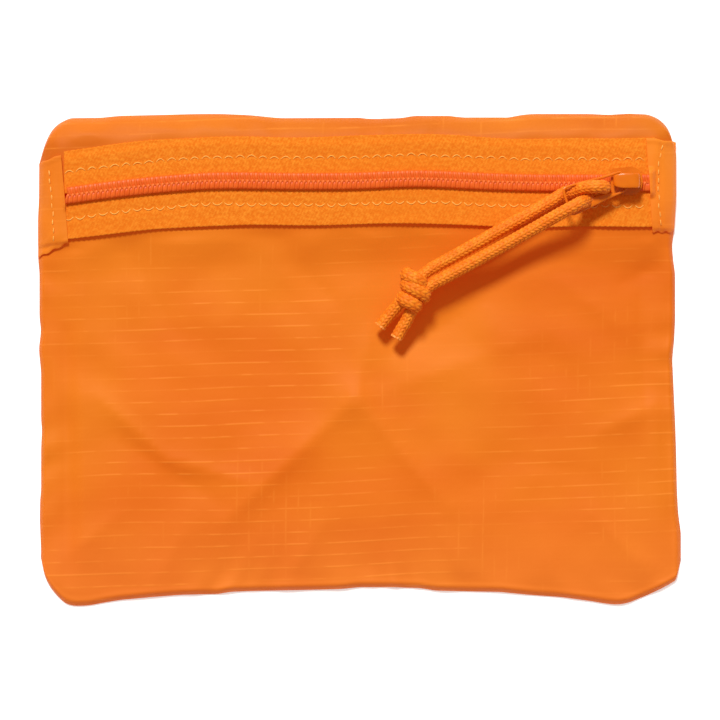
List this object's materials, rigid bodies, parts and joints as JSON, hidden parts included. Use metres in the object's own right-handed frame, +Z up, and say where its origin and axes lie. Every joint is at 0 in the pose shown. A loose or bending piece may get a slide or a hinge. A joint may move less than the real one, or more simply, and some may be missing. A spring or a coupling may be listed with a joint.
{
  "type": "flat zip stuff sack",
  "caption": "Flat ripstop stuff sack with a coil zip across the front, a painted slider and a knotted cord pull.",
  "frame": {"origin": "on the resting plane, under the middle of the sack's outline", "axes": "+X along the zip towards its closed end, +Y towards the top edge, +Z up out of the front"},
  "size_m": [0.2008, 0.1532, 0.0187],
  "materials": {
    "ripstop": "thin coated ripstop nylon, slight sheen",
    "tape": "knitted polyester tape",
    "coil": "nylon coil",
    "slider": "smooth gloss paint on zinc",
    "spring": "spring steel",
    "cord": "braided polyester sheath",
    "thread": "twisted polyester thread"
  },
  "bodies": {
    "sack": {"back_panel": "ripstop", "front_lower_panel": "ripstop", "front_upper_panel": "ripstop", "seam_thread_left": "thread", "seam_thread_right": "thread", "seam_thread_bottom": "thread", "seam_thread_top": "thread", "zip_tape_upper": "tape", "zip_tape_lower": "tape", "zip_coil_upper": "coil", "zip_coil_lower": "coil", "end_tab_left": "ripstop", "end_tab_right": "ripstop", "stitch_tape_upper": "thread", "stitch_tape_lower": "thread", "stitch_tab_left": "thread", "stitch_tab_right": "thread"},
    "slider": {"slider_body": "slider", "slider_crown": "slider"},
    "lock": {"lock_spring": "spring"},
    "pull": {"pull_tab": "slider", "cord_leg_upper": "cord", "cord_leg_lower": "cord", "cord_knot": "cord", "cord_tail_left": "cord", "cord_tail_right": "cord"}
  },
  "joints": [
    {"name": "zip_slide", "type": "slide", "parent": "sack", "child": "slider", "axis": [-1, 0, 0], "range_m": [0, 0.152]},
    {"name": "tab_flip", "type": "hinge", "parent": "slider", "child": "pull", "pos_m": [0.082, 0.0553, 0.0107], "axis": [-0.3256, 0.9455, 0], "range_deg": [0, 110]},
    {"name": "lock_lift", "type": "hinge", "parent": "slider", "child": "lock", "pos_m": [0.086, 0.0553, 0.01172], "axis": [0, 1, 0], "range_deg": [0, 5.5]}
  ],
  "couplings": [
    {"joint": "lock_lift", "follows": "tab_flip", "ratio": 0.05}
  ]
}
